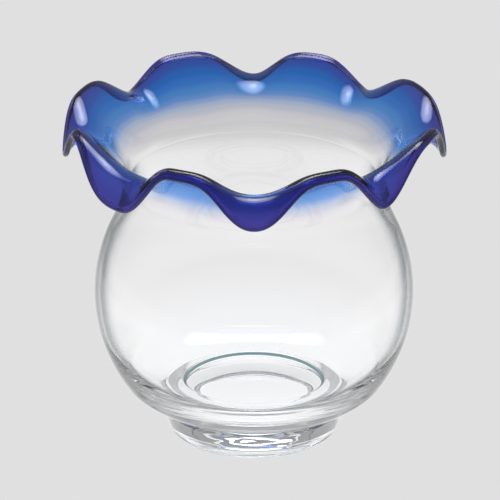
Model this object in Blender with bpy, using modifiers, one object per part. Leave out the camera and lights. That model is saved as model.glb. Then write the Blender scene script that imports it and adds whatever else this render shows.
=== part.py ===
"""Ruffled art glass bowl: a clear globe on a heavy foot, with a blue flared collar and a cobalt lip wrap.

Metres, +Z up. The foot stands on the plane Z = 0, the bowl's axis is Z and its front faces -Y.
"""

import math

import bmesh
import bpy
from mathutils import Vector

JOINT_GAP = 0.0003  # between two pieces of glass that are fused on the real bowl

# Foot: a thick disc that flares upwards, standing on a ground ring round a shallow recess
FOOT_HEIGHT = 0.0127
FOOT_TOP_RADIUS = 0.0462
FOOT_BOTTOM_RADIUS = 0.0424
FOOT_EDGE_ROUNDING = 0.0012
FOOT_FLARE_PULLS = ((0.0009, 0.62), (0.0012, 0.30))  # radius off each end's, and share of the height
FOOT_REST_INNER_RADIUS = 0.0315
FOOT_RECESS_DEPTH = 0.0040
FOOT_RECESS_SLOPE = 0.0045  # how far in the side of the recess leans
FOOT_RECESS_PULLS = ((0.3, 0.6), (0.5, 1.0))  # shares of the slope and of the depth

# Globe: outside radius and height of its centre
GLOBE_RADIUS = 0.0800
GLOBE_CENTRE_Z = 0.0735
GLOBE_WALL = 0.0028  # at the belly
GLOBE_LOWEST_ROUND_Z = 0.029  # below this the outside runs in to the foot
GLOBE_HIGHEST_ROUND_Z = 0.1075  # above this the outside runs up to the neck
RUN_IN_BELLY_PULL = (0.0034, 0.005)  # inwards and down from the belly
RUN_IN_FOOT_PULL = (0.0075, 0.0063)  # outwards and up from the foot
SHOULDER_PULL = 0.0072  # up the slope of the shoulder
NECK_PULL = 0.009  # down from the neck

# Inside of the globe: a flat floor, a small step up round it, and a bowl whose wall thins upwards
WALL_LOWEST_ROUND_Z = 0.058  # below this the inside leaves the round and the wall thickens
FLOOR_Z = 0.0208
FLOOR_RADIUS = 0.0348
FLOOR_STEP = (0.0012, 0.0018)  # the floor lies this much inside and below the foot of the wall
BOWL_FLOOR_PULL = (0.0540, 0.0223)
BOWL_WALL_PULL = 0.022  # down the wall from where it leaves the round

# Neck: the narrowest ring, where the collar starts
NECK_RADIUS = 0.0632  # middle of the wall
NECK_Z = 0.1335
NECK_WALL = 0.0026  # the collar has the same wall

# Collar and lip: from the neck the wall rises towards these points, under a dip and under a crest
DIP_START = (0.0632, 0.1500)
CREST_START = (0.0632, 0.1455)
LIP_WRAP_RADIUS = 0.0015
COLLAR_SETBACK = 0.00035  # beyond the gap, for the corners of the collar's cut edge

# The eight ruffles are pinched by hand and no two agree. Going round to the right from the front: azimuth
# in degrees; in millimetres the lip's radius and height, and how far inside and above the lip the wall
# turns over; then how broad it is, 0 for a plain wave and less than 0 for a narrow one.
DIPS = (
    (0, 94.0, 147.6, 8.8, 24.0, -0.15),
    (43, 92.5, 148.3, 8.8, 24.0, -0.5),
    (87, 94.0, 149.8, 8.8, 20.0, 0.0),
    (140, 92.5, 150.3, 8.8, 9.5, -0.3),
    (180, 94.0, 150.3, 8.8, 8.5, -0.6),
    (223.5, 94.5, 150.3, 8.8, 9.5, -0.3),
    (273, 93.5, 149.8, 8.8, 20.0, 0.0),
    (315.5, 94.0, 146.5, 8.8, 26.0, 0.6),
)
CRESTS = (
    (26, 87.0, 166.6, 6.0, 9.0, 0.9),
    (69, 93.0, 170.0, 4.5, 4.5, 0.8),
    (117, 93.3, 165.0, 4.5, 5.5, 0.75),
    (159, 87.0, 167.2, 6.0, -1.0, 0.75),
    (207, 88.0, 168.0, 6.0, -1.0, 0.9),
    (246, 93.8, 165.6, 4.5, 5.5, 0.8),
    (285, 91.0, 166.8, 4.5, 6.0, 0.2),
    (334, 87.0, 167.2, 6.0, 9.5, 1.0),
)

ROUND_STEPS = 64
RUFFLE_STEPS = 120
COLLAR_ROWS = 10
MERGE = 0.00001
LOOK_ASIDE = 0.002  # radians to each side, to find the lip's direction


def clear_scene():
    for obj in list(bpy.data.objects):
        bpy.data.objects.remove(obj, do_unlink=True)


def make_collection(name):
    collection = bpy.data.collections.new(name)
    bpy.context.scene.collection.children.link(collection)
    return collection


def glass_material(name, colour, roughness):
    material = bpy.data.materials.new(name)
    material.use_nodes = True
    shader = material.node_tree.nodes["Principled BSDF"]
    shader.inputs["Base Color"].default_value = (*colour, 1.0)
    shader.inputs["Roughness"].default_value = roughness
    shader.inputs["Metallic"].default_value = 0.0
    shader.inputs["Transmission Weight"].default_value = 1.0
    shader.inputs["IOR"].default_value = 1.5
    material.diffuse_color = (*colour, 0.6)
    return material


def bezier(points, share):
    """Point at this share, from 0 to 1, of a cubic curve through (radius, height) controls."""
    start, first, second, end = (Vector(point) for point in points)
    rest = 1.0 - share
    return (
        start * rest**3
        + first * 3 * rest**2 * share
        + second * 3 * rest * share**2
        + end * share**3
    )


def bezier_run(points, count):
    return [bezier(points, i / count) for i in range(count + 1)]


def arc_run(radius, from_z, to_z, count):
    """Points on the globe's circle of this radius, between two heights."""
    first = math.asin((from_z - GLOBE_CENTRE_Z) / radius)
    last = math.asin((to_z - GLOBE_CENTRE_Z) / radius)
    angles = [first + (last - first) * i / count for i in range(count + 1)]
    return [
        Vector((radius * math.cos(a), GLOBE_CENTRE_Z + radius * math.sin(a))) for a in angles
    ]


def circle_radius_at(radius, height):
    return math.sqrt(radius**2 - (height - GLOBE_CENTRE_Z) ** 2)


def neck_run(circle_radius, neck_radius):
    """From the neck's top down to where the globe becomes round."""
    low = GLOBE_HIGHEST_ROUND_Z
    low_radius = circle_radius_at(circle_radius, low)
    slope = (low - GLOBE_CENTRE_Z) / low_radius
    controls = (
        (neck_radius, NECK_Z),
        (neck_radius, NECK_Z - NECK_PULL),
        (low_radius - SHOULDER_PULL * slope, low + SHOULDER_PULL),
        (low_radius, low),
    )
    return bezier_run(controls, 5)


def globe_outside():
    """From the neck's top down the outside to the foot."""
    low_radius = circle_radius_at(GLOBE_RADIUS, GLOBE_LOWEST_ROUND_Z)
    shoulder = neck_run(GLOBE_RADIUS, NECK_RADIUS + NECK_WALL / 2)
    belly = arc_run(GLOBE_RADIUS, GLOBE_HIGHEST_ROUND_Z, GLOBE_LOWEST_ROUND_Z, 12)
    run_in = (
        (low_radius, GLOBE_LOWEST_ROUND_Z),
        (low_radius - RUN_IN_BELLY_PULL[0], GLOBE_LOWEST_ROUND_Z - RUN_IN_BELLY_PULL[1]),
        (FOOT_TOP_RADIUS + RUN_IN_FOOT_PULL[0], FOOT_HEIGHT + RUN_IN_FOOT_PULL[1]),
        (FOOT_TOP_RADIUS, FOOT_HEIGHT + JOINT_GAP),
    )
    return shoulder + belly[1:] + bezier_run(run_in, 5)[1:]


def globe_inside():
    """From the middle of the floor up the inside to the neck's top."""
    inner = GLOBE_RADIUS - GLOBE_WALL
    low_radius = circle_radius_at(inner, WALL_LOWEST_ROUND_Z)
    down = Vector((WALL_LOWEST_ROUND_Z - GLOBE_CENTRE_Z, -low_radius)) / inner
    bowl = (
        (FLOOR_RADIUS + FLOOR_STEP[0], FLOOR_Z + FLOOR_STEP[1]),
        BOWL_FLOOR_PULL,
        Vector((low_radius, WALL_LOWEST_ROUND_Z)) + BOWL_WALL_PULL * down,
        (low_radius, WALL_LOWEST_ROUND_Z),
    )
    belly = arc_run(inner, WALL_LOWEST_ROUND_Z, GLOBE_HIGHEST_ROUND_Z, 8)
    shoulder = neck_run(inner, NECK_RADIUS - NECK_WALL / 2)
    shoulder.reverse()
    floor = [Vector((0.0, FLOOR_Z)), Vector((FLOOR_RADIUS, FLOOR_Z))]
    return floor + bezier_run(bowl, 9) + belly[1:] + shoulder[1:]


def foot_profile():
    """From the middle of the foot's top, down its outside and in to the middle of the recess."""
    rounding = FOOT_EDGE_ROUNDING
    upper, lower = FOOT_FLARE_PULLS
    outside = (
        (FOOT_TOP_RADIUS, FOOT_HEIGHT),
        (FOOT_TOP_RADIUS - upper[0], FOOT_HEIGHT * upper[1]),
        (FOOT_BOTTOM_RADIUS + lower[0], FOOT_HEIGHT * lower[1]),
        (FOOT_BOTTOM_RADIUS, rounding),
    )
    edge = (
        (FOOT_BOTTOM_RADIUS, rounding),
        (FOOT_BOTTOM_RADIUS, rounding / 2),
        (FOOT_BOTTOM_RADIUS - rounding / 2, 0.0),
        (FOOT_BOTTOM_RADIUS - rounding, 0.0),
    )
    first, second = FOOT_RECESS_PULLS
    recess = (
        (FOOT_REST_INNER_RADIUS, 0.0),
        (FOOT_REST_INNER_RADIUS - FOOT_RECESS_SLOPE * first[0], FOOT_RECESS_DEPTH * first[1]),
        (FOOT_REST_INNER_RADIUS - FOOT_RECESS_SLOPE * second[0], FOOT_RECESS_DEPTH * second[1]),
        (FOOT_REST_INNER_RADIUS - FOOT_RECESS_SLOPE, FOOT_RECESS_DEPTH),
    )
    top = [Vector((0.0, FOOT_HEIGHT))]
    ceiling = [Vector((0.0, FOOT_RECESS_DEPTH))]
    return top + bezier_run(outside, 4) + bezier_run(edge, 3)[1:] + bezier_run(recess, 5) + ceiling


def turned_piece(name, profile, material, collection):
    """A solid of revolution from a profile of (radius, height) points that starts and ends on the axis."""
    mesh = bpy.data.meshes.new(name)
    vertices = [(point[0], 0.0, point[1]) for point in profile]
    edges = [(i, i + 1) for i in range(len(profile) - 1)]
    mesh.from_pydata(vertices, edges, [])
    mesh.materials.append(material)
    obj = bpy.data.objects.new(name, mesh)
    collection.objects.link(obj)
    screw = obj.modifiers.new("turn", "SCREW")
    screw.axis = "Z"
    screw.steps = ROUND_STEPS
    screw.render_steps = ROUND_STEPS
    screw.use_merge_vertices = True
    screw.merge_threshold = MERGE
    screw.use_smooth_shade = True
    return obj


def ruffle_stations():
    """Dips and crests in turn: azimuth, breadth, then start, bend and lip as (radius, height)."""
    stations = []
    for pair in zip(DIPS, CRESTS):
        for row, start in zip(pair, (DIP_START, CREST_START)):
            azimuth, radius, height, inside, above, breadth = row
            lip = Vector((radius, height)) / 1000
            bend = Vector((radius - inside, height + above)) / 1000
            stations.append((math.radians(azimuth), breadth, Vector(start), bend, lip))
    return stations


def profile_at(azimuth, stations):
    """The collar's meridian at this azimuth, as four Bezier controls from the neck to the lip."""
    count = len(stations)
    turn = azimuth % math.tau
    index = max(i for i in range(count) if stations[i][0] <= turn)
    begin, breadth, *curve = stations[index]
    end, next_breadth, *next_curve = stations[(index + 1) % count]
    if end <= begin:
        end += math.tau
    share = (turn - begin) / (end - begin)
    rest = 1.0 - share
    share += share * rest * (next_breadth * share - breadth * rest)
    weight = (1 - math.cos(math.pi * share)) / 2
    neck = Vector((NECK_RADIUS, NECK_Z + JOINT_GAP))
    return [neck] + [one.lerp(two, weight) for one, two in zip(curve, next_curve)]


def on_azimuth(azimuth, point):
    """A (radius, height) point turned to an azimuth that counts from the front, to the right."""
    return Vector((point[0] * math.sin(azimuth), -point[0] * math.cos(azimuth), point[1]))


def collar_end_share(azimuth, stations):
    """How far along its meridian the collar runs, so that it stops clear of the lip wrap."""
    sides = [azimuth - LOOK_ASIDE, azimuth + LOOK_ASIDE]
    before, after = (on_azimuth(side, profile_at(side, stations)[3]) for side in sides)
    along = (after - before).normalized()
    controls = profile_at(azimuth, stations)
    lip = on_azimuth(azimuth, controls[3])
    clear = LIP_WRAP_RADIUS + JOINT_GAP + COLLAR_SETBACK
    back = clear / (3 * (controls[3] - controls[2]).length)
    for _ in range(4):
        way = on_azimuth(azimuth, bezier(controls, 1.0 - back)) - lip
        back *= clear / way.cross(along).length
    return 1.0 - back


def ruffled_collar(stations, material, collection):
    """A lofted sheet from the round neck to the ruffled lip, thickened into a wall."""
    shape = bmesh.new()
    rows = []
    for i in range(RUFFLE_STEPS):
        azimuth = math.tau * i / RUFFLE_STEPS
        controls = profile_at(azimuth, stations)
        last = collar_end_share(azimuth, stations)
        points = [bezier(controls, last * row / COLLAR_ROWS) for row in range(COLLAR_ROWS + 1)]
        rows.append([shape.verts.new(on_azimuth(azimuth, point)) for point in points])
    for i, row in enumerate(rows):
        beside = rows[(i + 1) % RUFFLE_STEPS]
        for j in range(COLLAR_ROWS):
            shape.faces.new((row[j], beside[j], beside[j + 1], row[j + 1]))
    mesh = bpy.data.meshes.new("ruffled_collar")
    shape.to_mesh(mesh)
    shape.free()
    mesh.materials.append(material)
    mesh.shade_smooth()
    obj = bpy.data.objects.new("ruffled_collar", mesh)
    collection.objects.link(obj)
    wall = obj.modifiers.new("wall", "SOLIDIFY")
    wall.thickness = NECK_WALL
    wall.offset = 0.0
    wall.use_even_offset = True
    return obj


def lip_wrap(stations, material, collection):
    """The round thread of glass along the whole lip."""
    curve = bpy.data.curves.new("lip_wrap", "CURVE")
    curve.dimensions = "3D"
    curve.bevel_depth = LIP_WRAP_RADIUS
    curve.bevel_resolution = 2
    spline = curve.splines.new("POLY")
    spline.points.add(RUFFLE_STEPS - 1)
    for i, point in enumerate(spline.points):
        azimuth = math.tau * i / RUFFLE_STEPS
        lip = on_azimuth(azimuth, profile_at(azimuth, stations)[3])
        point.co = (*lip, 1.0)
    spline.use_cyclic_u = True
    curve.materials.append(material)
    obj = bpy.data.objects.new("lip_wrap", curve)
    collection.objects.link(obj)
    return obj


def main():
    clear_scene()
    bowl = make_collection("art_glass_bowl")
    clear_glass = glass_material("clear_glass", (0.96, 0.98, 0.98), 0.03)
    foot_glass = glass_material("foot_glass", (0.92, 0.96, 0.96), 0.05)
    blue_glass = glass_material("blue_glass", (0.05, 0.16, 0.48), 0.04)
    cobalt_glass = glass_material("cobalt_glass", (0.05, 0.03, 0.25), 0.04)
    stations = ruffle_stations()
    globe = globe_inside() + globe_outside() + [Vector((0.0, FOOT_HEIGHT + JOINT_GAP))]
    turned_piece("globe_body", globe, clear_glass, bowl)
    turned_piece("foot_disc", foot_profile(), foot_glass, bowl)
    ruffled_collar(stations, blue_glass, bowl)
    lip_wrap(stations, cobalt_glass, bowl)


main()
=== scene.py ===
import math

import bpy
import numpy as np
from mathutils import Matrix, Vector


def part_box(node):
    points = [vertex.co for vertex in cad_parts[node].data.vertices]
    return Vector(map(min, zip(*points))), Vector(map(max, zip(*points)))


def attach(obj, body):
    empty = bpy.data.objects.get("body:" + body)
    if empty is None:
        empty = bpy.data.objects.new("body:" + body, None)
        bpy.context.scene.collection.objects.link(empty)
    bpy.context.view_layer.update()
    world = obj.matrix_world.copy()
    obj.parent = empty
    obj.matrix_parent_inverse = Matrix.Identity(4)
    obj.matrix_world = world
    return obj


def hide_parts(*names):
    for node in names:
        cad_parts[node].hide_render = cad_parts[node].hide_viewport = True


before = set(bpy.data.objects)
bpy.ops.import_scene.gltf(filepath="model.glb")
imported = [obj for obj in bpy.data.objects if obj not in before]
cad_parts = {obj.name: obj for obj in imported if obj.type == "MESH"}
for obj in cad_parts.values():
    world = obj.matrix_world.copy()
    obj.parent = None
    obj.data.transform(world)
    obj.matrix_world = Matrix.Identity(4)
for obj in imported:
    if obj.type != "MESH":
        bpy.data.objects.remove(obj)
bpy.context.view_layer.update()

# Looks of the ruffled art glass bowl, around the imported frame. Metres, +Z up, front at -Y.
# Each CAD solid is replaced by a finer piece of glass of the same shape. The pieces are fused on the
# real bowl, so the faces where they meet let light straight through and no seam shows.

GLOBE_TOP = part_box("globe_body")[1]
FOOT_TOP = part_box("foot_disc")[1]

# Fused faces stand this far apart, so that a ray meets one and then the other
FUSED_GAP = 0.00001

# Foot
FOOT_HEIGHT = FOOT_TOP.z
FOOT_TOP_RADIUS = FOOT_TOP.x
FOOT_BOTTOM_RADIUS = 0.0424
FOOT_EDGE_ROUNDING = 0.0012
FOOT_FLARE_PULLS = ((0.0009, 0.62), (0.0012, 0.30))  # radius off each end's, and share of the height
FOOT_REST_INNER_RADIUS = 0.0315
FOOT_RECESS_DEPTH = 0.0040
FOOT_RECESS_SLOPE = 0.0045  # how far in the side of the recess leans
FOOT_RECESS_PULLS = ((0.3, 0.6), (0.5, 1.0))  # shares of the slope and of the depth

# Globe
GLOBE_RADIUS = GLOBE_TOP.x
GLOBE_CENTRE_Z = 0.0735
GLOBE_WALL = 0.0028  # at the belly
GLOBE_LOWEST_ROUND_Z = 0.029  # below this the outside runs in to the foot
GLOBE_HIGHEST_ROUND_Z = 0.1075  # above this the outside runs up to the neck
RUN_IN_BELLY_PULL = (0.0034, 0.005)  # inwards and down from the belly
RUN_IN_FOOT_PULL = (0.0075, 0.0063)  # outwards and up from the foot
SHOULDER_PULL = 0.0072  # up the slope of the shoulder
NECK_PULL = 0.009  # down from the neck

# Inside of the globe: a flat floor, a small step up round it, and a bowl whose wall thins upwards
WALL_LOWEST_ROUND_Z = 0.058  # below this the inside leaves the round and the wall thickens
FLOOR_Z = 0.0208
FLOOR_RADIUS = 0.0348
FLOOR_STEP = (0.0012, 0.0018)  # the floor lies this much inside and below the foot of the wall
BOWL_FLOOR_PULL = (0.0540, 0.0223)
BOWL_WALL_PULL = 0.022  # down the wall from where it leaves the round

# Neck: the narrowest ring, where the collar starts
NECK_RADIUS = 0.0632  # middle of the wall
NECK_Z = GLOBE_TOP.z
NECK_WALL = 0.0026  # the collar has the same wall

# Collar and lip: from the neck the wall rises towards these points, under a dip and under a crest
DIP_START = (0.0632, 0.1500)
CREST_START = (0.0632, 0.1455)
LIP_WRAP_RADIUS = 0.0015
LIP_WRAP_REACH = 0.00195  # from the wrap's middle to where it meets the collar
SEAM_EASING = 0.6  # share of the collar's way from where it is drawn to meet the wrap

# Unevenness of the collar's wall: share of its thickness, waves in a turn, and how far each climbs and
# where it starts, in radians
WALL_WAVES = (
    (0.05, 3, 0, 1.0),
    (0.04, 5, -9, 0.0),
)

# The eight ruffles are pinched by hand and no two agree. Going round to the right from the front: azimuth
# in degrees; in millimetres the lip's radius and height, and how far inside and above the lip the wall
# turns over; then how broad it is, 0 for a plain wave and less than 0 for a narrow one.
DIPS = (
    (0, 94.0, 147.6, 8.8, 24.0, -0.15),
    (43, 92.5, 148.3, 8.8, 24.0, -0.5),
    (87, 94.0, 149.8, 8.8, 20.0, 0.0),
    (140, 92.5, 150.3, 8.8, 9.5, -0.3),
    (180, 94.0, 150.3, 8.8, 8.5, -0.6),
    (223.5, 94.5, 150.3, 8.8, 9.5, -0.3),
    (273, 93.5, 149.8, 8.8, 20.0, 0.0),
    (315.5, 94.0, 146.5, 8.8, 26.0, 0.6),
)
CRESTS = (
    (26, 87.0, 166.6, 6.0, 9.0, 0.9),
    (69, 93.0, 170.0, 4.5, 4.5, 0.8),
    (117, 93.3, 165.0, 4.5, 5.5, 0.75),
    (159, 87.0, 167.2, 6.0, -1.0, 0.75),
    (207, 88.0, 168.0, 6.0, -1.0, 0.9),
    (246, 93.8, 165.6, 4.5, 5.5, 0.8),
    (285, 91.0, 166.8, 4.5, 6.0, 0.2),
    (334, 87.0, 167.2, 6.0, 9.5, 1.0),
)

ROUND_STEPS = 256
RUFFLE_STEPS = 448
COLLAR_ROWS = 64
BEAD_STEPS = 24
PROFILE_SPACING = 0.0004  # between the points of the globe's profile
EASING_PASSES = 4  # over the globe's profile
SHARP = math.radians(40)


# ---------------------------------------------------------------- outlines

def bezier(controls, shares):
    """Points of a cubic curve at these shares, for controls whose last axis holds coordinates."""
    start, first, second, end = controls
    rest = 1.0 - shares
    return (
        start * rest**3
        + first * 3 * rest**2 * shares
        + second * 3 * rest * shares**2
        + end * shares**3
    )


def bezier_run(points, count):
    controls = [np.array(point) for point in points]
    return bezier(controls, np.linspace(0, 1, count + 1)[:, None])


def arc_run(radius, from_z, to_z, count):
    """Points on the globe's circle of this radius, between two heights."""
    first = math.asin((from_z - GLOBE_CENTRE_Z) / radius)
    last = math.asin((to_z - GLOBE_CENTRE_Z) / radius)
    angles = np.linspace(first, last, count + 1)
    return np.stack((radius * np.cos(angles), GLOBE_CENTRE_Z + radius * np.sin(angles)), 1)


def circle_radius_at(radius, height):
    return math.sqrt(radius**2 - (height - GLOBE_CENTRE_Z) ** 2)


def neck_run(circle_radius, neck_radius):
    """From the neck's top down to where the globe becomes round."""
    low = GLOBE_HIGHEST_ROUND_Z
    low_radius = circle_radius_at(circle_radius, low)
    slope = (low - GLOBE_CENTRE_Z) / low_radius
    controls = (
        (neck_radius, NECK_Z),
        (neck_radius, NECK_Z - NECK_PULL),
        (low_radius - SHOULDER_PULL * slope, low + SHOULDER_PULL),
        (low_radius, low),
    )
    return bezier_run(controls, 24)


def eased(points):
    """The same run with even spacing and its changes of curvature eased, its ends kept."""
    steps = np.linalg.norm(np.diff(points, axis=0), axis=1)
    along = np.concatenate(([0], np.cumsum(steps)))
    even = np.linspace(0, along[-1], round(along[-1] / PROFILE_SPACING) + 1)
    run = np.stack([np.interp(even, along, points[:, axis]) for axis in range(2)], 1)
    for _ in range(EASING_PASSES):
        run[1:-1] = (run[:-2] + 2 * run[1:-1] + run[2:]) / 4
    return run


def globe_outside():
    """From the neck's top down the outside to the foot."""
    low_radius = circle_radius_at(GLOBE_RADIUS, GLOBE_LOWEST_ROUND_Z)
    shoulder = neck_run(GLOBE_RADIUS, NECK_RADIUS + NECK_WALL / 2)
    belly = arc_run(GLOBE_RADIUS, GLOBE_HIGHEST_ROUND_Z, GLOBE_LOWEST_ROUND_Z, 80)
    run_in = (
        (low_radius, GLOBE_LOWEST_ROUND_Z),
        (low_radius - RUN_IN_BELLY_PULL[0], GLOBE_LOWEST_ROUND_Z - RUN_IN_BELLY_PULL[1]),
        (FOOT_TOP_RADIUS + RUN_IN_FOOT_PULL[0], FOOT_HEIGHT + RUN_IN_FOOT_PULL[1]),
        (FOOT_TOP_RADIUS, FOOT_HEIGHT + FUSED_GAP),
    )
    return eased(np.concatenate((shoulder, belly[1:], bezier_run(run_in, 24)[1:])))


def globe_inside():
    """From the middle of the floor up the inside to the neck's top."""
    inner = GLOBE_RADIUS - GLOBE_WALL
    low_radius = circle_radius_at(inner, WALL_LOWEST_ROUND_Z)
    down = np.array((WALL_LOWEST_ROUND_Z - GLOBE_CENTRE_Z, -low_radius)) / inner
    bowl = (
        (FLOOR_RADIUS + FLOOR_STEP[0], FLOOR_Z + FLOOR_STEP[1]),
        BOWL_FLOOR_PULL,
        np.array((low_radius, WALL_LOWEST_ROUND_Z)) + BOWL_WALL_PULL * down,
        (low_radius, WALL_LOWEST_ROUND_Z),
    )
    belly = arc_run(inner, WALL_LOWEST_ROUND_Z, GLOBE_HIGHEST_ROUND_Z, 60)
    shoulder = neck_run(inner, NECK_RADIUS - NECK_WALL / 2)[::-1]
    floor = ((0.0, FLOOR_Z), (FLOOR_RADIUS, FLOOR_Z))
    return eased(np.concatenate((floor, bezier_run(bowl, 60), belly[1:], shoulder[1:])))


def foot_outside():
    """From the foot's top down its flared side and round its edge to the ground ring."""
    rounding = FOOT_EDGE_ROUNDING
    upper, lower = FOOT_FLARE_PULLS
    outside = (
        (FOOT_TOP_RADIUS, FOOT_HEIGHT),
        (FOOT_TOP_RADIUS - upper[0], FOOT_HEIGHT * upper[1]),
        (FOOT_BOTTOM_RADIUS + lower[0], FOOT_HEIGHT * lower[1]),
        (FOOT_BOTTOM_RADIUS, rounding),
    )
    edge = (
        (FOOT_BOTTOM_RADIUS, rounding),
        (FOOT_BOTTOM_RADIUS, rounding / 2),
        (FOOT_BOTTOM_RADIUS - rounding / 2, 0.0),
        (FOOT_BOTTOM_RADIUS - rounding, 0.0),
    )
    return np.concatenate((bezier_run(outside, 16), bezier_run(edge, 8)[1:]))


def foot_underside():
    """From the ground ring up the side of the recess and in along its ceiling."""
    ceiling_radius = FOOT_REST_INNER_RADIUS - FOOT_RECESS_SLOPE
    first, second = FOOT_RECESS_PULLS
    side = (
        (FOOT_REST_INNER_RADIUS, 0.0),
        (FOOT_REST_INNER_RADIUS - FOOT_RECESS_SLOPE * first[0], FOOT_RECESS_DEPTH * first[1]),
        (FOOT_REST_INNER_RADIUS - FOOT_RECESS_SLOPE * second[0], FOOT_RECESS_DEPTH * second[1]),
        (ceiling_radius, FOOT_RECESS_DEPTH),
    )
    ceiling = ((ceiling_radius, FOOT_RECESS_DEPTH),) * 2 + ((0.0, FOOT_RECESS_DEPTH),) * 2
    return np.concatenate((bezier_run(side, 20), bezier_run(ceiling, 20)[1:]))


# ---------------------------------------------------------------- meshes

def ring_mesh(name, rings, strip_slots, materials, lift=None):
    """A closed mesh from rings of points, in order along a section that closes on itself."""
    count, around = rings.shape[:2]
    index = np.arange(count * around).reshape(count, around)
    faces = []
    for strip in range(count):
        one = index[strip]
        two = index[(strip + 1) % count]
        faces += np.stack((one, np.roll(one, -1), np.roll(two, -1), two), 1).tolist()
    slots = np.repeat(strip_slots, around)
    return finished_mesh(name, rings.reshape(-1, 3), faces, slots, materials, lift)


def turned_mesh(name, profile, strip_slots, materials):
    """A closed mesh turned from a (radius, height) profile whose first and last points lie on the axis."""
    angles = np.arange(ROUND_STEPS) * math.tau / ROUND_STEPS
    radius, height = profile[1:-1, 0:1], profile[1:-1, 1:2]
    rings = np.stack(
        (radius * np.sin(angles), -radius * np.cos(angles), height + 0 * angles), 2
    )
    index = np.arange(rings.shape[0] * ROUND_STEPS).reshape(-1, ROUND_STEPS)
    first_pole, last_pole = index.size, index.size + 1
    poles = [(0.0, 0.0, profile[0, 1]), (0.0, 0.0, profile[-1, 1])]
    points = np.concatenate((rings.reshape(-1, 3), poles))
    onward = np.roll(index, -1, axis=1)
    faces = [(first_pole, b, a) for a, b in zip(index[0], onward[0])]
    for strip in range(len(index) - 1):
        faces += np.stack((index[strip], onward[strip], onward[strip + 1], index[strip + 1]), 1).tolist()
    faces += [(last_pole, a, b) for a, b in zip(index[-1], onward[-1])]
    slots = np.repeat(strip_slots, ROUND_STEPS)
    return finished_mesh(name, points, faces, slots, materials)


def finished_mesh(name, points, faces, slots, materials, lift=None):
    if signed_volume(points, faces) < 0:
        faces = [tuple(reversed(face)) for face in faces]
    mesh = bpy.data.meshes.new(name)
    mesh.from_pydata(np.asarray(points).tolist(), [], faces)
    for material in materials:
        mesh.materials.append(material)
    mesh.polygons.foreach_set("material_index", np.asarray(slots, dtype=np.int32))
    if lift is not None:
        layer = mesh.attributes.new("lift", "FLOAT", "POINT")
        layer.data.foreach_set("value", lift.reshape(-1).astype(np.float32))
    mesh.shade_smooth()
    mesh.set_sharp_from_angle(angle=SHARP)
    obj = bpy.data.objects.new(name, mesh)
    bpy.context.scene.collection.objects.link(obj)
    return obj


def signed_volume(points, faces):
    points = np.asarray(points)
    corners = np.array([(face[0], face[i], face[i + 1]) for face in faces for i in range(1, len(face) - 1)])
    a, b, c = (points[corners[:, i]] for i in range(3))
    return np.einsum("ij,ij->i", a, np.cross(b, c)).sum()


# ---------------------------------------------------------------- glass bodies

GLASS, FUSED = 0, 1


def make_globe(clear_glass, fused):
    inside = globe_inside()
    outside = globe_outside()
    underside = np.array(((0.0, FOOT_HEIGHT + FUSED_GAP),))
    profile = np.concatenate((inside, outside, underside))
    profile[:, 0] = np.maximum(profile[:, 0], 0.0)
    slots = [GLASS] * (len(profile) - 1)
    slots[len(inside) - 1] = FUSED
    slots[-1] = FUSED
    return turned_mesh("globe_glass", profile, slots, (clear_glass, fused))


def make_foot(foot_glass, fused):
    top = np.array(((0.0, FOOT_HEIGHT),))
    profile = np.concatenate((top, foot_outside(), foot_underside()))
    slots = [GLASS] * (len(profile) - 1)
    slots[0] = FUSED
    return turned_mesh("foot_glass", profile, slots, (foot_glass, fused))


def ruffle_stations():
    """Of dips and crests in turn: azimuth, breadth, then start, bend and lip as (radius, height)."""
    rows = np.array([station for pair in zip(DIPS, CRESTS) for station in pair])
    lips = rows[:, 1:3] / 1000
    bends = lips + rows[:, 3:5] * (-1, 1) / 1000
    starts = np.array((DIP_START, CREST_START) * len(DIPS))
    return np.radians(rows[:, 0]), rows[:, 5:6], starts, bends, lips


def collar_controls(azimuths):
    """The four Bezier controls of the collar's meridian at each azimuth, as (radius, height)."""
    stations, breadths, *curves = ruffle_stations()
    count = len(stations)
    ends = np.append(stations, math.tau)
    index = np.searchsorted(stations, azimuths, side="right") - 1
    after = (index + 1) % count
    share = ((azimuths - ends[index]) / (ends[index + 1] - ends[index]))[:, None]
    rest = 1 - share
    share = share - breadths[index] * share * rest**2 + breadths[after] * share**2 * rest
    weight = (1 - np.cos(math.pi * share)) / 2
    neck = np.array((NECK_RADIUS, NECK_Z + FUSED_GAP)) + 0 * weight
    return neck, *(curve[index] * (1 - weight) + curve[after] * weight for curve in curves)


def on_azimuth(azimuths, points):
    """(radius, height) points turned to their azimuths, which count from the front to the right."""
    radius, height = points[..., 0], points[..., 1]
    return np.stack((radius * np.sin(azimuths), -radius * np.cos(azimuths), height), -1)


def unit(vectors):
    return vectors / np.linalg.norm(vectors, axis=-1, keepdims=True)


def lip_frame(azimuths, controls):
    """Along the lip at each azimuth: its points, the way out of the sheet and the sheet's outer normal."""
    lip = on_azimuth(azimuths, controls[3])
    along = unit(np.roll(lip, -1, 0) - np.roll(lip, 1, 0))
    outward = unit(lip - on_azimuth(azimuths, controls[2]))
    square = unit(outward - along * (outward * along).sum(-1, keepdims=True))
    normal = unit(np.cross(along, square))
    return lip, square, normal, np.linalg.norm(np.cross(outward, along), axis=-1)


def eased_in(values, start):
    """0 up to start, rising smoothly to 1 at 1."""
    share = np.clip((values - start) / (1 - start), 0, 1)
    return share * share * (3 - 2 * share)


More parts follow.
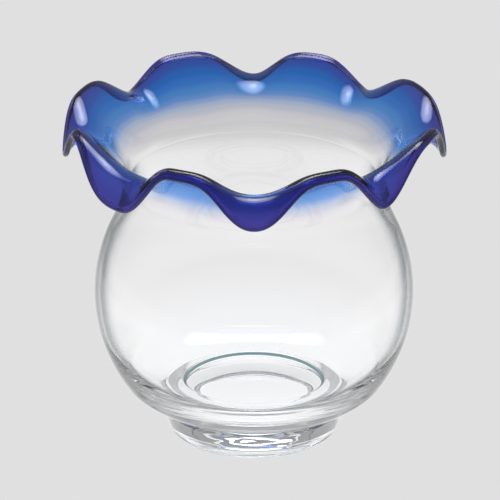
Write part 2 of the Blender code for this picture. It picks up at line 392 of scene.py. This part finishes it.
def collar_sheet(azimuths, controls):
    """The middle of the collar's wall, as rows from neck to lip, and each point's share of the way."""
    lip, square, _, slant = lip_frame(azimuths, controls)
    pull = 3 * np.linalg.norm(controls[3] - controls[2], axis=-1)
    last = 1 - LIP_WRAP_REACH / slant / pull
    rows = np.linspace(0, 1, COLLAR_ROWS + 1)
    share = rows[:, None] * last
    sheet = np.stack(
        [on_azimuth(azimuths, bezier(controls, one[:, None])) for one in share]
    )
    end = lip - square * (LIP_WRAP_REACH + FUSED_GAP)
    sheet += eased_in(rows, SEAM_EASING)[:, None, None] * (end - sheet[-1])
    return sheet, share


def sheet_normals(sheet, last_normal):
    """Outer normals of the collar's sheet, level at the neck and as the lip's at its last row."""
    down = np.gradient(sheet, axis=0)
    along = np.roll(sheet, -1, 1) - np.roll(sheet, 1, 1)
    normals = unit(np.cross(along, down))
    normals[0] = unit(sheet[0] * (1, 1, 0))
    if (normals[-1] * last_normal).sum() < 0:
        normals = -normals
        normals[0] = -normals[0]
    normals[-1] = last_normal
    return normals


def make_collar(azimuths, controls, blue_glass, fused):
    sheet, share = collar_sheet(azimuths, controls)
    normals = sheet_normals(sheet, lip_frame(azimuths, controls)[2])
    half = NECK_WALL / 2 * wall_variation(azimuths, share)[..., None]
    outer = sheet + normals * half
    inner = (sheet - normals * half)[::-1]
    rings = np.concatenate((outer, inner))
    lift = np.concatenate((share, share[::-1])) + BLUE_TILT * np.cos(azimuths)
    slots = [GLASS] * len(rings)
    slots[COLLAR_ROWS] = FUSED
    slots[-1] = FUSED
    return ring_mesh("collar_glass", rings, slots, (blue_glass, fused), lift)


def wall_variation(azimuths, share):
    """The hand-blown wall runs a little thick and thin, and is true where it is fused at both ends."""
    waves = [
        size * np.sin(turns * azimuths + climb * share + start) for size, turns, climb, start in WALL_WAVES
    ]
    return 1 + sum(waves) * np.sin(math.pi * np.clip(share / share.max(0), 0, 1)) ** 2


def make_lip(azimuths, controls, cobalt_glass, fused):
    """The thread of glass round the lip: a round bead drawn in to the collar's wall."""
    lip, square, normal, _ = lip_frame(azimuths, controls)
    half = NECK_WALL / 2
    meet = math.asin(half / LIP_WRAP_RADIUS)
    angles = np.linspace(math.pi - meet, meet - math.pi, BEAD_STEPS + 1)
    bead = np.stack((np.cos(angles), np.sin(angles)), 1) * LIP_WRAP_RADIUS
    section = np.concatenate(([(-LIP_WRAP_REACH, half)], bead, [(-LIP_WRAP_REACH, -half)]))
    rings = np.stack([lip + square * out + normal * up for out, up in section])
    slots = [GLASS] * len(section)
    slots[-1] = FUSED
    return ring_mesh("lip_glass", rings, slots, (cobalt_glass, fused), np.ones(rings.shape[:2]))


# ---------------------------------------------------------------- materials

def new_material(name):
    material = bpy.data.materials.new(name)
    material.use_nodes = True
    return material, material.node_tree.nodes, material.node_tree.links


def glass_shader(nodes):
    shader = nodes["Principled BSDF"]
    shader.inputs["Transmission Weight"].default_value = 1.0
    shader.inputs["Metallic"].default_value = 0.0
    shader.inputs["Roughness"].default_value = 0.0
    shader.inputs["IOR"].default_value = 1.5
    return shader


def object_place(nodes):
    """Where a point lies on the bowl, or on the floor or the light."""
    return nodes.new("ShaderNodeTexCoord").outputs["Object"]


def height_of(nodes, links):
    split = nodes.new("ShaderNodeSeparateXYZ")
    links.new(object_place(nodes), split.inputs["Vector"])
    return split.outputs["Z"]


def length_of(nodes, links, vector):
    length = nodes.new("ShaderNodeVectorMath")
    length.operation = "LENGTH"
    links.new(vector, length.inputs[0])
    return length.outputs["Value"]


def ranged(nodes, links, value, start, end, results=(0.0, 1.0)):
    """The value as results[0] at start and results[1] at end, even in between and held beyond."""
    node = nodes.new("ShaderNodeMapRange")
    node.inputs["From Min"].default_value = start
    node.inputs["From Max"].default_value = end
    node.inputs["To Min"].default_value = results[0]
    node.inputs["To Max"].default_value = results[1]
    links.new(value, node.inputs["Value"])
    return node.outputs["Result"]


def multiplied(nodes, links, one, two):
    """The product of two colours."""
    mix = nodes.new("ShaderNodeMix")
    mix.data_type = "RGBA"
    mix.blend_type = "MULTIPLY"
    mix.inputs["Factor"].default_value = 1.0
    links.new(one, mix.inputs["A"])
    links.new(two, mix.inputs["B"])
    return mix.outputs["Result"]


def noise(nodes, links, scale, detail):
    texture = nodes.new("ShaderNodeTexNoise")
    texture.inputs["Scale"].default_value = scale
    texture.inputs["Detail"].default_value = detail
    links.new(object_place(nodes), texture.inputs["Vector"])
    return texture.outputs["Fac"]


def ramp(nodes, links, value, stops, interpolation="EASE"):
    """The value's colour on a ramp of (place, (red, green, blue)) stops."""
    node = nodes.new("ShaderNodeValToRGB")
    node.color_ramp.interpolation = interpolation
    elements = node.color_ramp.elements
    while len(elements) > 1:
        elements.remove(elements[-1])
    elements[0].position, elements[0].color = stops[0][0], (*stops[0][1], 1.0)
    for place, colour in stops[1:]:
        elements.new(place).color = (*colour, 1.0)
    links.new(value, node.inputs["Fac"])
    return node.outputs["Color"]


def add_waves(nodes, links, shader, scale, strength):
    """Slight unevenness of a surface that cooled in the air."""
    bump = nodes.new("ShaderNodeBump")
    bump.inputs["Strength"].default_value = strength
    bump.inputs["Distance"].default_value = 0.001
    links.new(noise(nodes, links, scale, detail=1.0), bump.inputs["Height"])
    links.new(bump.outputs["Normal"], shader.inputs["Normal"])


# The thick bottom of the globe is a little greener than the thin wall above it
DEPTH_TINTS = (
    (0.0, (0.96, 0.972, 0.975)),
    (1.0, (0.985, 0.98, 0.987)),
)

# Glass seen at a slant is darkened almost to black here: painted shade along the outline, far darker than
# the little that light loses on its longer way through the wall
SLANT_ABSORPTION_AND_SHADE = (
    (0.58, (1.00, 1.00, 1.00)),
    (0.66, (0.78, 0.80, 0.81)),
    (0.71, (0.50, 0.53, 0.54)),
    (0.77, (0.16, 0.18, 0.19)),
    (0.82, (0.03, 0.04, 0.045)),
    (1.00, (0.005, 0.008, 0.009)),
)

# A dark ring painted on the step round the floor: its green is the thick glass's own, seen edge on, and its
# darkness is painted shade
STEP_GREEN_AND_SHADE = (
    (0.00, (1.00, 1.00, 1.00)),
    (0.12, (0.02, 0.07, 0.08)),
    (0.88, (0.02, 0.07, 0.08)),
    (1.00, (1.00, 1.00, 1.00)),
)


def depth_tint(nodes, links):
    share = ranged(nodes, links, height_of(nodes, links), FLOOR_Z, GLOBE_CENTRE_Z)
    return ramp(nodes, links, share, DEPTH_TINTS)


# Painted shade: a dark green ring on the step round the floor
def step_green_and_shade(nodes, links):
    level = nodes.new("ShaderNodeVectorMath")
    level.operation = "MULTIPLY"
    level.inputs[1].default_value = (1.0, 1.0, 0.0)
    links.new(object_place(nodes), level.inputs[0])
    radius = length_of(nodes, links, level.outputs["Vector"])
    share = ranged(nodes, links, radius, FLOOR_RADIUS, FLOOR_RADIUS + FLOOR_STEP[0])
    return ramp(nodes, links, share, STEP_GREEN_AND_SHADE)


# Painted shade: the clear glass is darkened towards its outline by the angle it is seen at
def slant_absorption_and_shade(nodes, links):
    slant = nodes.new("ShaderNodeLayerWeight")
    slant.inputs["Blend"].default_value = 0.5
    return ramp(nodes, links, slant.outputs["Facing"], SLANT_ABSORPTION_AND_SHADE, "LINEAR")


def make_clear_glass():
    material, nodes, links = new_material("clear_glass")
    shader = glass_shader(nodes)
    # the glass's tint, times the painted shade of the dark ring on the step round the floor
    tint_and_shade = multiplied(nodes, links, depth_tint(nodes, links), step_green_and_shade(nodes, links))
    # times the painted shade that darkens the outline
    tint_and_shade = multiplied(nodes, links, tint_and_shade, slant_absorption_and_shade(nodes, links))
    links.new(tint_and_shade, shader.inputs["Base Color"])
    add_waves(nodes, links, shader, scale=22.0, strength=0.05)
    return material


FOOT_TINT = (0.93, 0.948, 0.95)
GROUND_ROUGHNESS = 0.35
GROUND_HEIGHTS = (0.0001, 0.0004)  # below the first the foot is ground, above the second it is polished


def make_foot_glass():
    """Polished, but for the ring underneath that was ground flat to stand on."""
    material, nodes, links = new_material("foot_glass")
    shader = glass_shader(nodes)
    shader.inputs["Base Color"].default_value = (*FOOT_TINT, 1.0)
    height = height_of(nodes, links)
    roughness = ranged(nodes, links, height, *GROUND_HEIGHTS, (GROUND_ROUGHNESS, 0.0))
    links.new(roughness, shader.inputs["Roughness"])
    add_waves(nodes, links, shader, scale=60.0, strength=0.12)
    return material


BLUE_TILT = 0.06  # the blue reaches a little lower at the front than at the back

BLUES = (
    (0.10, (0.985, 0.985, 0.99)),
    (0.16, (0.95, 0.93, 0.985)),
    (0.25, (0.73, 0.77, 0.91)),
    (0.29, (0.57, 0.69, 0.93)),
    (0.34, (0.36, 0.52, 0.90)),
    (0.38, (0.18, 0.39, 0.88)),
    (0.44, (0.090, 0.33, 0.84)),
    (0.54, (0.040, 0.226, 0.77)),
    (0.62, (0.022, 0.180, 0.68)),
    (0.72, (0.040, 0.112, 0.55)),
    (0.84, (0.048, 0.070, 0.43)),
    (1.00, (0.048, 0.050, 0.36)),
)


BLUE_STREAK = 0.05  # how far up or down the collar a streak of blue strays, as a share of its way


def make_blue_glass():
    material, nodes, links = new_material("blue_glass")
    shader = glass_shader(nodes)
    lift = nodes.new("ShaderNodeAttribute")
    lift.attribute_name = "lift"
    streaks = noise(nodes, links, scale=28.0, detail=3.0)
    add = nodes.new("ShaderNodeMath")
    add.operation = "ADD"
    links.new(lift.outputs["Fac"], add.inputs[0])
    links.new(ranged(nodes, links, streaks, 0.0, 1.0, (-BLUE_STREAK, BLUE_STREAK)), add.inputs[1])
    links.new(ramp(nodes, links, add.outputs["Value"], BLUES), shader.inputs["Base Color"])
    add_waves(nodes, links, shader, scale=30.0, strength=0.06)
    return material


COBALTS = (
    (0.3, (0.035, 0.028, 0.24)),
    (0.7, (0.055, 0.042, 0.32)),
)


def make_cobalt_glass():
    material, nodes, links = new_material("cobalt_glass")
    shader = glass_shader(nodes)
    streaks = noise(nodes, links, scale=40.0, detail=3.0)
    links.new(ramp(nodes, links, streaks, COBALTS), shader.inputs["Base Color"])
    add_waves(nodes, links, shader, scale=60.0, strength=0.06)
    return material


def make_fused():
    """The inside of a fused joint, which light crosses unchanged."""
    material, nodes, links = new_material("fused_joint")
    nodes.remove(nodes["Principled BSDF"])
    clear = nodes.new("ShaderNodeBsdfTransparent")
    links.new(clear.outputs["BSDF"], nodes["Material Output"].inputs["Surface"])
    return material


# ---------------------------------------------------------------- studio

ROOM = 0.32  # brightness of the room round the table
PALE = 0.745  # the pale floor and its surround, as the camera sees them

LIGHT_PLACE = (0.0, 0.42, 0.95)
LIGHT_REACH = (0.58, 0.42)  # from its middle to where it has faded out, across and front to back
LIGHT_RADIANCE = 10.0
LIGHT_FALL = ((0.0, 1.0), (0.5, 0.45), (1.0, 0.0))  # share of its reach, and of its radiance

FLOOR_SIZE = 60.0
FLOOR_DROP = 0.0001  # below the foot, so that the two faces don't meet
POOL_REACH = 0.345  # of the bright part of the table, from the bowl's axis
POOL = (  # share of its reach, and brightness
    (0.0, 1.10),
    (0.30, 1.06),
    (0.55, 0.94),
    (0.97, 0.80),
    (1.06, 0.62),
    (2.0, 0.60),
    (4.0, 0.35),
)

CAMERA_ELEVATION = math.radians(23.7)
CAMERA_DISTANCE = 2.8
CAMERA_TARGET = Vector((-0.0020, 0.0, 0.0953))
CAMERA_VIEW_WIDTH = 0.25  # at the target
SENSOR_WIDTH = 36.0  # millimetres


def grey(value):
    return (value, value, value)


def emission(nodes, links, colour, strength=1.0):
    shader = nodes.new("ShaderNodeEmission")
    shader.inputs["Strength"].default_value = strength
    links.new(colour, shader.inputs["Color"])
    return shader.outputs["Emission"]


def seen_apart(nodes, links, by_glass, by_camera, output):
    """One look for light that reaches the camera by way of the glass, and one for the camera itself."""
    path = nodes.new("ShaderNodeLightPath")
    mix = nodes.new("ShaderNodeMixShader")
    links.new(path.outputs["Is Camera Ray"], mix.inputs["Fac"])
    links.new(by_glass, mix.inputs[1])
    links.new(by_camera, mix.inputs[2])
    links.new(mix.outputs["Shader"], output.inputs["Surface"])


def make_floor():
    """A pale table: even grey to the eye, and a pool of light round the bowl to what shines through it."""
    bpy.ops.mesh.primitive_plane_add(size=FLOOR_SIZE, location=(0, 0, -FLOOR_DROP))
    floor = bpy.context.object
    floor.name = "floor"
    material, nodes, links = new_material("floor_paper")
    nodes.remove(nodes["Principled BSDF"])
    far = POOL[-1][0]
    distance = length_of(nodes, links, object_place(nodes))
    share = ranged(nodes, links, distance, 0.0, POOL_REACH * far)
    pool = ramp(nodes, links, share, [(place / far, grey(glow)) for place, glow in POOL], "LINEAR")
    seen = nodes.new("ShaderNodeEmission")
    seen.inputs["Color"].default_value = (*grey(PALE), 1.0)
    output = nodes["Material Output"]
    seen_apart(nodes, links, emission(nodes, links, pool), seen.outputs["Emission"], output)
    floor.data.materials.append(material)


def make_world():
    world = bpy.data.worlds.new("studio")
    bpy.context.scene.world = world
    world.use_nodes = True
    nodes, links = world.node_tree.nodes, world.node_tree.links
    room = nodes["Background"]
    room.inputs["Color"].default_value = (*grey(ROOM), 1.0)
    seen = nodes.new("ShaderNodeBackground")
    seen.inputs["Color"].default_value = (*grey(PALE), 1.0)
    output = nodes["World Output"]
    seen_apart(nodes, links, room.outputs["Background"], seen.outputs["Background"], output)


def make_light():
    """One long overhead light, bright in the middle and soft at its edge."""
    bpy.ops.mesh.primitive_circle_add(vertices=64, radius=1.0, fill_type="NGON", location=LIGHT_PLACE)
    light = bpy.context.object
    light.name = "overhead_light"
    light.scale = (*LIGHT_REACH, 1.0)
    material, nodes, links = new_material("soft_light")
    nodes.remove(nodes["Principled BSDF"])
    share = length_of(nodes, links, object_place(nodes))
    fall = ramp(nodes, links, share, [(place, grey(glow)) for place, glow in LIGHT_FALL])
    glow = emission(nodes, links, fall, LIGHT_RADIANCE)
    links.new(glow, nodes["Material Output"].inputs["Surface"])
    light.data.materials.append(material)


def make_camera():
    data = bpy.data.cameras.new("camera")
    data.sensor_width = SENSOR_WIDTH
    data.lens = SENSOR_WIDTH * CAMERA_DISTANCE / CAMERA_VIEW_WIDTH
    data.clip_end = 100.0
    camera = bpy.data.objects.new("camera", data)
    back = Vector((0.0, -math.cos(CAMERA_ELEVATION), math.sin(CAMERA_ELEVATION)))
    camera.location = CAMERA_TARGET + back * CAMERA_DISTANCE
    camera.rotation_euler = (-back).to_track_quat("-Z", "Y").to_euler()
    bpy.context.scene.collection.objects.link(camera)
    bpy.context.scene.camera = camera


def set_light_paths():
    """Enough bounces for light to cross the many walls of glass."""
    scene = bpy.context.scene
    scene.view_settings.view_transform = "Standard"
    scene.cycles.max_bounces = 32
    scene.cycles.transmission_bounces = 32
    scene.cycles.glossy_bounces = 16
    scene.cycles.transparent_max_bounces = 32


# ---------------------------------------------------------------- assembly

def main():
    fused = make_fused()
    azimuths = np.arange(RUFFLE_STEPS) * math.tau / RUFFLE_STEPS
    controls = collar_controls(azimuths)
    pieces = (
        (make_globe(make_clear_glass(), fused), "globe_body", "clear_glass"),
        (make_foot(make_foot_glass(), fused), "foot_disc", "foot_glass"),
        (make_collar(azimuths, controls, make_blue_glass(), fused), "ruffled_collar", "blue_glass"),
        (make_lip(azimuths, controls, make_cobalt_glass(), fused), "lip_wrap", "cobalt_glass"),
    )
    for piece, node, slot in pieces:
        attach(piece, "root")
        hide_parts(node)
    make_floor()
    make_world()
    make_light()
    make_camera()
    set_light_paths()


main()
